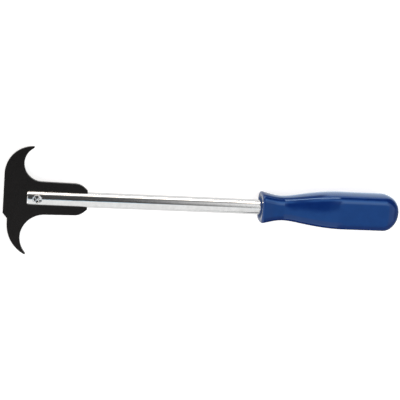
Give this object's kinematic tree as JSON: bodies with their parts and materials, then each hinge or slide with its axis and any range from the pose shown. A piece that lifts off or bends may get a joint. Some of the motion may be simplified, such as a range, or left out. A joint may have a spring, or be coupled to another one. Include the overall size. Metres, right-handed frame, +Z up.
{
  "type": "seal puller",
  "caption": "Hand seal puller: a flat black hook plate with a large and a small hook, riveted into the slotted end of a plated round shaft with a blue moulded grip.",
  "frame": {"origin": "on the shaft's axis, in the plane of the handle's front face, where the shaft leaves the handle", "axes": "+X along the shaft towards the butt of the handle, +Y towards the larger hook, +Z up, square to the hook plate; the tool lies on the handle's flat underside"},
  "size_m": [0.3126, 0.0842, 0.0274],
  "materials": {
    "blackened_steel": "satin black, edges slightly broken",
    "plated_bar": "bright plating over drawn bar",
    "rivet_steel": "bright, hammered closed end",
    "blue_grip": "glossy moulded plastic"
  },
  "bodies": {
    "root": {"hook_plate": "blackened_steel", "shaft": "plated_bar", "rivet": "rivet_steel", "handle": "blue_grip"}
  },
  "joints": []
}
